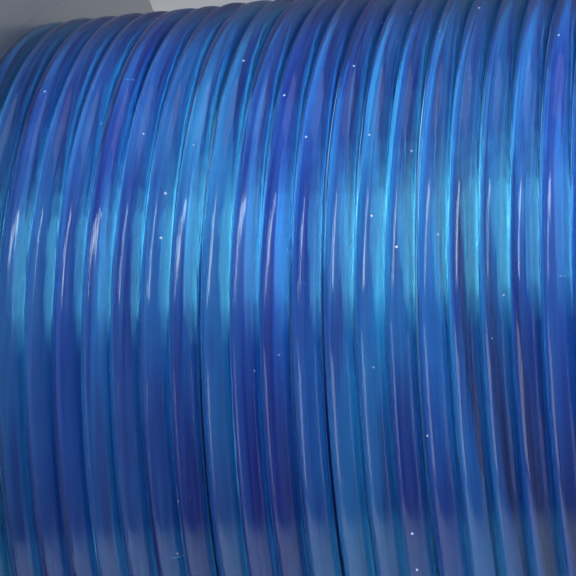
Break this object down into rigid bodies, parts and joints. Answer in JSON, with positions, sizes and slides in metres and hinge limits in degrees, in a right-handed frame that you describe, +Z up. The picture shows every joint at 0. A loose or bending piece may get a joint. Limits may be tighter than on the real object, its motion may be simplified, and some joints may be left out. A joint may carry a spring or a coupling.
{
  "type": "fishing line spool",
  "caption": "Flanged plastic spool wound with thick translucent blue monofilament, with a centre bore, an elastic keeper belt, line notches and a swinging line clip.",
  "frame": {"origin": "middle of the arbor bore, on the spool's axis and half way between the flanges", "axes": "+X along the spool's axis towards the flange with the line clip, +Z up with the spool lying on the flats of its rims, +Y to the back"},
  "size_m": [0.0632, 0.0824, 0.0824],
  "materials": {
    "shell": "moulded white polystyrene, glossy rims and a fine satin web",
    "line": "clear blue nylon monofilament with a wet gloss",
    "label": "blank printed paper ring with a satin varnish",
    "clip": "black acetal",
    "rivet": "plain stainless steel",
    "arbor": "turned aluminium tube",
    "collar": "black acetal with a fine spark texture",
    "webbing": "woven navy elastic"
  },
  "bodies": {
    "spool": {"left_flange": "shell", "right_flange": "shell", "hub_barrel": "shell", "left_hub_plug": "shell", "right_hub_plug": "shell", "left_label": "label", "right_label": "label", "line_inner_layers": "line", "line_under_layer": "line", "line_top_layer": "line", "line_start_tail": "line", "line_tag_end": "line", "clip_rivet": "rivet", "clip_washer": "rivet"},
    "clip": {"line_clip": "clip"},
    "arbor": {"arbor_tube": "arbor", "left_arbor_cap": "collar", "right_arbor_cap": "collar"},
    "belt": {"keeper_belt": "webbing", "belt_pull_tab": "webbing"}
  },
  "joints": [
    {"name": "arbor_turn", "type": "hinge", "parent": "spool", "child": "arbor", "pos_m": [0, 0, 0], "axis": [1, 0, 0], "continuous": true},
    {"name": "belt_turn", "type": "hinge", "parent": "spool", "child": "belt", "pos_m": [0, 0, 0], "axis": [1, 0, 0], "continuous": true},
    {"name": "clip_swing", "type": "hinge", "parent": "spool", "child": "clip", "pos_m": [0.02977, -0.00921, 0.03012], "axis": [1, 0, 0], "range_deg": [0, 100]}
  ]
}
